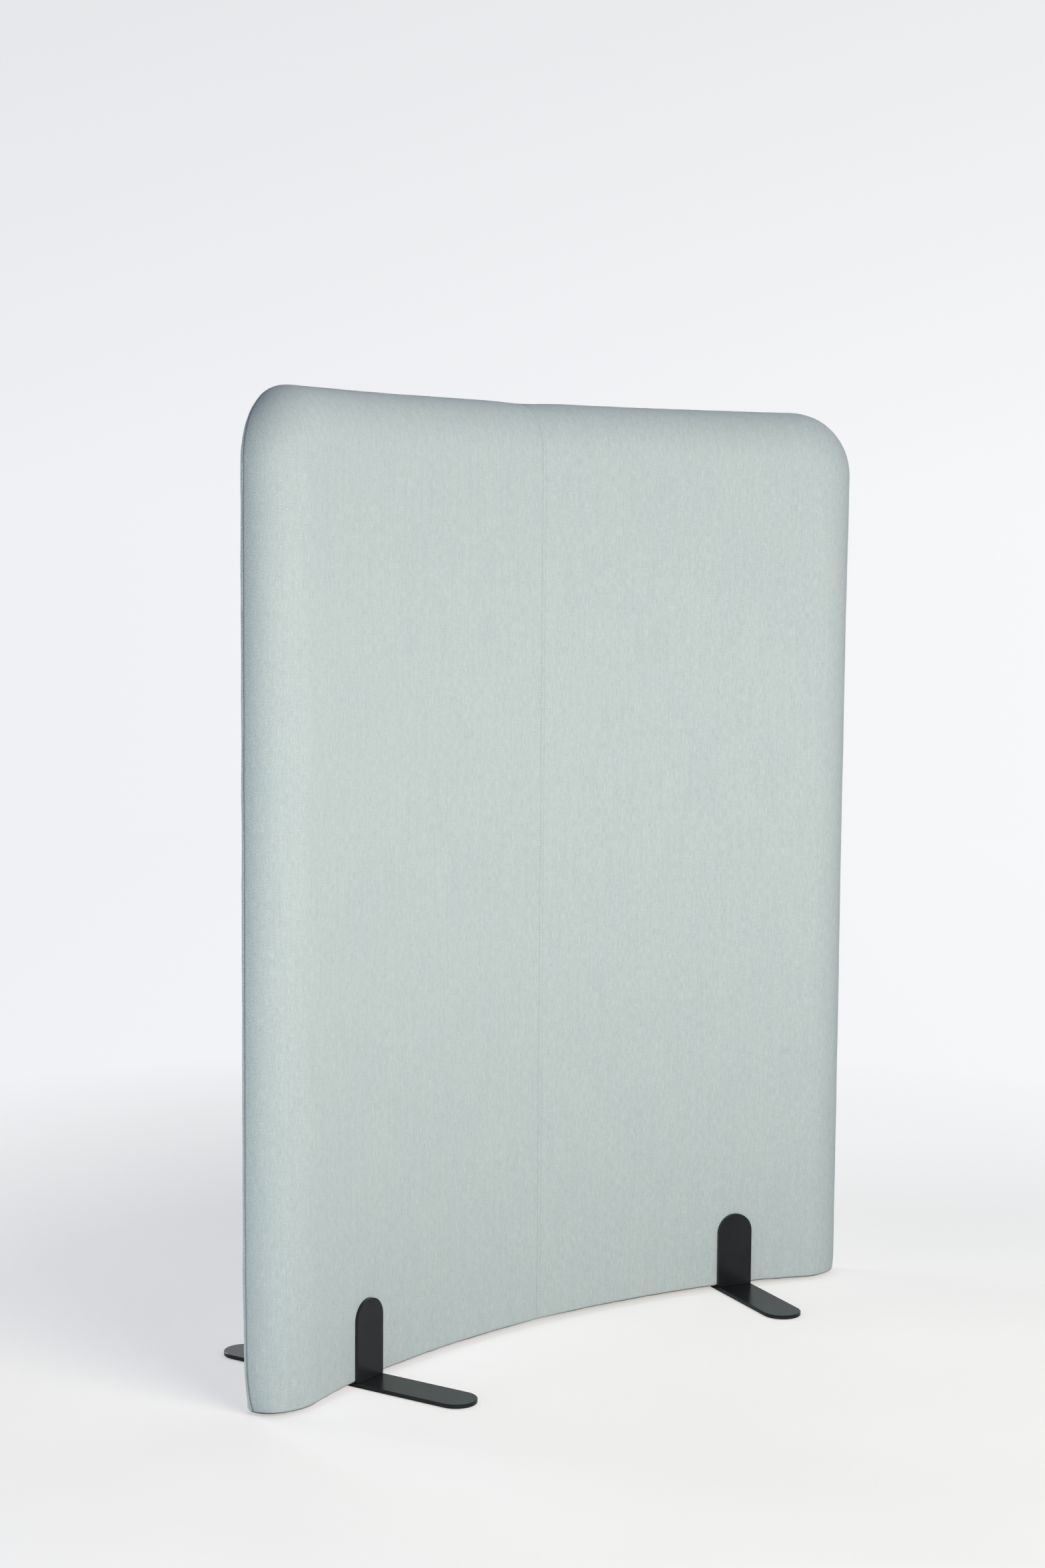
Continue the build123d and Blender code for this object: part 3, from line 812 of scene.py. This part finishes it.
def sew(name, spots, ways, runs, size, finish):
    """Copies one stitch along a seam, each turned to lie in the cloth there, and joins them to one piece."""
    stitch = one_stitch(*size)
    copies = []
    for spot, way, run in zip(spots, ways, runs):
        along = run - way * np.dot(run, way)
        along /= np.linalg.norm(along)
        lie = np.eye(4)
        lie[:3] = np.stack([np.cross(along, way), way, along, spot], 1)
        copy = bpy.data.objects.new(name, stitch.data.copy())
        copy.data.transform(Matrix(lie.tolist()))
        bpy.context.scene.collection.objects.link(copy)
        copies.append(copy)
    bpy.data.objects.remove(stitch)
    pick(copies[0])
    for copy in copies:
        copy.select_set(True)
    bpy.ops.object.join()
    piece = named(name)
    curve_round(piece)
    outwards(piece)
    smooth(piece, 80)
    piece.data.materials.append(finish)
    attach(piece, "root")


def on_cloth(side, from_edge, from_top):
    """Points just over the front cover, and which way it faces there."""
    spot, way, u, v, nearest = front_roll.lay(side, from_edge, from_top)
    return pulled_corners(spot - way * (drawn_in(front_roll, u, v, nearest) - STITCH_LIFT)[:, None]), way


def centre_stitches(side, name):
    """One of the twin rows that hold the seam between the front cover's halves flat."""
    # Each stitch lies between two needle holes, whose places the cloth's own pattern gives
    cloth_top = PANEL_TOP - CORNER + front_roll.turn
    up = cloth_top - np.arange(0.006, front_roll.tall, STITCH_PITCH) - STITCH_PITCH / 2
    from_top = cloth_top - (np.floor(up / STITCH_PITCH) * STITCH_PITCH + STITCH_PITCH / 2)
    from_edge = np.full(len(from_top), front_roll.across - STITCH_OUT)
    sides = np.full(len(from_top), float(side))
    spot, way = on_cloth(sides, from_edge, from_top)
    ahead, _ = on_cloth(sides, from_edge, from_top + 0.001)
    return sew("centre_stitches_" + name, spot, way, ahead - spot, CENTRE_STITCH, THREAD)


def edge_stitches(side, name):
    """The stitches that show in the seam between front and back covers, up one side and over the top."""
    middle_x, middle_z = HALF_WIDTH - CORNER, PANEL_TOP - CORNER
    down = np.arange(front_roll.turn, front_roll.tall, STITCH_PITCH)
    arc = np.arange(0, math.pi / 2, STITCH_PITCH / CORNER)
    over = np.arange(front_roll.turn, front_roll.across, STITCH_PITCH)
    x = np.concatenate([np.full(len(down), HALF_WIDTH), middle_x + CORNER * np.cos(arc),
                        middle_x + front_roll.turn - over])
    z = np.concatenate([middle_z + front_roll.turn - down, middle_z + CORNER * np.sin(arc),
                        np.full(len(over), PANEL_TOP)])
    out = np.concatenate([np.tile([1.0, 0], (len(down), 1)), np.stack([np.cos(arc), np.sin(arc)], 1),
                          np.tile([0, 1.0], (len(over), 1))])
    level = np.zeros(len(x))
    way = np.stack([side * out[:, 0], level, out[:, 1]], 1)
    run = np.stack([-side * out[:, 1], level, out[:, 0]], 1)
    spot = np.stack([side * x, level + SEAM_THROUGH, z], 1) - way * EDGE_STITCH_DEPTH
    return sew("edge_stitches_" + name, pulled_corners(spot), way, run, EDGE_STITCH, EDGE_THREAD)


for make in (centre_stitches, edge_stitches):
    for side, name in ((-1, "left"), (1, "right")):
        make(side, name)


# Floor, backdrop, light and camera

# Level directions across the photo and into it, and the tones that the backdrop has at its left and right
ACROSS_VIEW, INTO_VIEW = (0.7577, -0.6527, 0.0), (0.6527, 0.7577, 0.0)
LEFT_TONE, RIGHT_TONE = (0.868, 0.876, 0.903), (0.928, 0.936, 0.953)

# Seen from above: the curve of the panel's hollow face, and the middle of the panel's left end
FACE_RADIUS = MID_RADIUS - HALF_THICKNESS
LEFT_END = (-0.576, -0.073, 0.0)


def floor_tone(f, here):
    """The floor's own light: paler towards the right, with a painted shadow beside and behind the panel's
    left end, and painted light close in front of the hollow face.
    """
    aside, behind = f.dot(here, ACROSS_VIEW), f.dot(here, INTO_VIEW)
    right_tone = f.node("ShaderNodeValToRGB", {"stops": (
        (0.0, (0.255, 0.245, 0.205)), (0.17, (0.39, 0.37, 0.33)), (0.37, (0.495, 0.48, 0.44)),
        (0.7, (0.50, 0.485, 0.45)), (1.0, (0.59, 0.58, 0.545)))}, {"Fac": f.spread(behind, -0.9, 1.4)})
    tone = f.blend(f.spread(aside, -0.45, 0.55), (0.425, 0.40, 0.367), right_tone)

    # Painted shadow of the panel, falling back from its left end
    from_end = f.node("ShaderNodeVectorMath", {"operation": "SUBTRACT"}, {0: here, 1: LEFT_END})
    past_edge = f.dot(from_end, (0.985, 0.173, 0.0))
    down_edge = f.dot(from_end, (-0.173, 0.985, 0.0))
    fading = f.maths("MAXIMUM", down_edge - 0.6, 0.0)
    painted_shadow = f.spread(past_edge / (down_edge * 0.3 + 0.02), -0.5, 0.5) * f.spread(down_edge, 0.0, 0.05)
    painted_shadow = painted_shadow * f.maths("EXPONENT", fading * fading * -1.6) * f.spread(aside, -0.3, 0.2, 1.0, 0.0)
    tone = f.blend(painted_shadow, tone, (0.395, 0.375, 0.362))

    # Painted light: close in front of the hollow face the floor is lighter again, where the panel shades it
    axis = (0, APEX - MID_RADIUS, 0)
    from_axis = f.node("ShaderNodeVectorMath", {"operation": "DISTANCE"}, {0: here, 1: axis}, "Value")
    before, sideways = FACE_RADIUS - from_axis, f.axis(here, "X")
    painted_light = f.spread(before, 0.0, 0.60, 1.0, 0.0) * f.spread(sideways, -0.2, 0.2, 0.055, 0.0)
    painted_light = (painted_light + f.spread(before, 0.0, 0.16, 0.032, 0.0)) * f.spread(before, -0.09, -0.05)
    painted_light = painted_light * f.spread(sideways, -0.62, -0.50) * f.spread(sideways, 0.56, 0.68, 1.0, 0.0)
    return f.blend(painted_light, tone, (1.0, 1.02, 1.25), "ADD")


def studio_floor():
    """A pale round floor that takes the object's shadow and turns into the backdrop further out."""
    f = Finish("pale studio floor")
    fleck = f.grain(f.place(), 3.0, 3.0)
    f.coat(Base_Color=f.blend(f.spread(fleck, 0.3, 0.7), (0.59, 0.59, 0.595), (0.605, 0.605, 0.61)),
           Roughness=0.9, Specular_IOR_Level=0.1)
    here = f.node("ShaderNodeTexCoord", output="Object")
    seen = f.node("ShaderNodeLightPath", output="Is Camera Ray")
    glow = f.node("ShaderNodeEmission", inputs={"Color": floor_tone(f, here), "Strength": seen})
    near = f.node("ShaderNodeAddShader", inputs={0: Flow(f, f.shader.outputs[0]), 1: glow})
    far_tone = f.blend(f.spread(f.dot(here, ACROSS_VIEW), -1.9, 1.9), LEFT_TONE, RIGHT_TONE)
    far = f.node("ShaderNodeEmission", inputs={"Color": far_tone, "Strength": 1.0})
    out = f.node("ShaderNodeVectorMath", {"operation": "LENGTH"}, {0: here}, "Value")
    surface = f.node("ShaderNodeMixShader", inputs={0: f.spread(out, 0.9, 2.2) * seen, 1: near, 2: far})
    f.set(f.tree.nodes["Material Output"].inputs["Surface"], surface)
    deselect_all()
    bpy.ops.mesh.primitive_circle_add(vertices=96, radius=7, fill_type="NGON", location=(0, 0, 0))
    floor = named("studio_floor")
    floor.data.materials.append(f.material)


def studio_world():
    """A pale backdrop for the camera, and a weak blue light from all round on the object.

    Reflections see the backdrop behind the screen and the blue light elsewhere."""
    world = bpy.data.worlds.new("studio")
    bpy.context.scene.world = world
    world.use_nodes = True
    world.node_tree.nodes.clear()
    w = Nodes(world.node_tree)
    direction = w.node("ShaderNodeTexCoord", output="Generated")
    slant = w.spread(w.dot(direction, ACROSS_VIEW), -0.2, 0.2)
    low_tone = w.blend(slant, LEFT_TONE, RIGHT_TONE)
    high_tone = w.blend(slant, (0.765, 0.775, 0.795), (0.815, 0.822, 0.840))
    backdrop = w.blend(w.spread(w.axis(direction, "Z"), 0.015, 0.26), low_tone, high_tone)
    shown = w.node("ShaderNodeBackground", inputs={"Color": backdrop, "Strength": 1.0})
    lit = w.node("ShaderNodeBackground", inputs={"Color": (0.27, 0.42, 0.75), "Strength": 0.24})
    camera_ray = w.node("ShaderNodeLightPath", output="Is Camera Ray")
    clear_ray = w.node("ShaderNodeLightPath", output="Is Transmission Ray")
    glossy_ray = w.node("ShaderNodeLightPath", output="Is Glossy Ray")
    mirrored = glossy_ray * w.spread(w.dot(direction, INTO_VIEW), 0.0, 0.6)
    share = w.maths("MAXIMUM", w.maths("MAXIMUM", camera_ray, mirrored), clear_ray)
    surface = w.node("ShaderNodeMixShader", inputs={0: share, 1: lit, 2: shown})
    w.node("ShaderNodeOutputWorld", inputs={"Surface": surface})


def softbox(name, place, aim, size, watts, colour):
    lamp = bpy.data.lights.new(name, "AREA")
    lamp.shape, lamp.size, lamp.size_y = "RECTANGLE", size[0], size[1]
    lamp.energy, lamp.color = watts, colour
    light = bpy.data.objects.new(name, lamp)
    bpy.context.scene.collection.objects.link(light)
    light.location = place
    light.rotation_euler = (Vector(aim) - Vector(place)).to_track_quat("-Z", "Y").to_euler()


MIDDLE, LOW = (0, 0, 0.75), (0, 0, 0.5)
studio_floor()
studio_world()
softbox("front_softbox", (-0.32, -2.75, 1.62), MIDDLE, (1.8, 1.4), 46.8, (1.0, 0.98, 0.915))
softbox("near_softbox", (-0.33, -1.72, 0.94), MIDDLE, (1.5, 1.1), 12.5, (1.0, 0.98, 0.95))
softbox("side_softbox", (-2.2, 0.0, 0.3), LOW, (1.4, 0.5), 8.6, (0.84, 0.96, 1.0))
softbox("top_softbox", (0.8, 0.7, 2.8), MIDDLE, (1.8, 1.2), 10.5, (1.0, 1.0, 0.96))
softbox("rear_softbox", (-1.7, 3.5, 1.15), MIDDLE, (2.4, 2.0), 90, (1.0, 1.0, 0.99))

# The photo's camera: its place, its turns, and its focal length as a share of the photo's height
EYE = (-2.5451, -2.8897, 1.1867)
YAW, PITCH, ROLL = math.radians(-40.741), math.radians(5.2161), math.radians(0.4059)
PHOTO_HEIGHT_PIXELS, FOCAL_PIXELS = 2352, 3861.86
FILM_SIZE = 36.0

ahead = Vector((-math.sin(YAW) * math.cos(PITCH), math.cos(YAW) * math.cos(PITCH), -math.sin(PITCH)))
right = Vector((math.cos(YAW), math.sin(YAW), 0))
up = right.cross(ahead)
turned_right = math.cos(ROLL) * right + math.sin(ROLL) * up
turned_up = -math.sin(ROLL) * right + math.cos(ROLL) * up
lens = bpy.data.cameras.new("camera")
lens.sensor_width = FILM_SIZE
lens.lens = FILM_SIZE * FOCAL_PIXELS / PHOTO_HEIGHT_PIXELS
lens.clip_start, lens.clip_end = 0.05, 60
camera = bpy.data.objects.new("camera", lens)
bpy.context.scene.collection.objects.link(camera)
camera.matrix_world = Matrix((
    (turned_right.x, turned_up.x, -ahead.x, EYE[0]),
    (turned_right.y, turned_up.y, -ahead.y, EYE[1]),
    (turned_right.z, turned_up.z, -ahead.z, EYE[2]),
    (0, 0, 0, 1)))
bpy.context.scene.camera = camera
bpy.context.scene.view_settings.view_transform = "Standard"
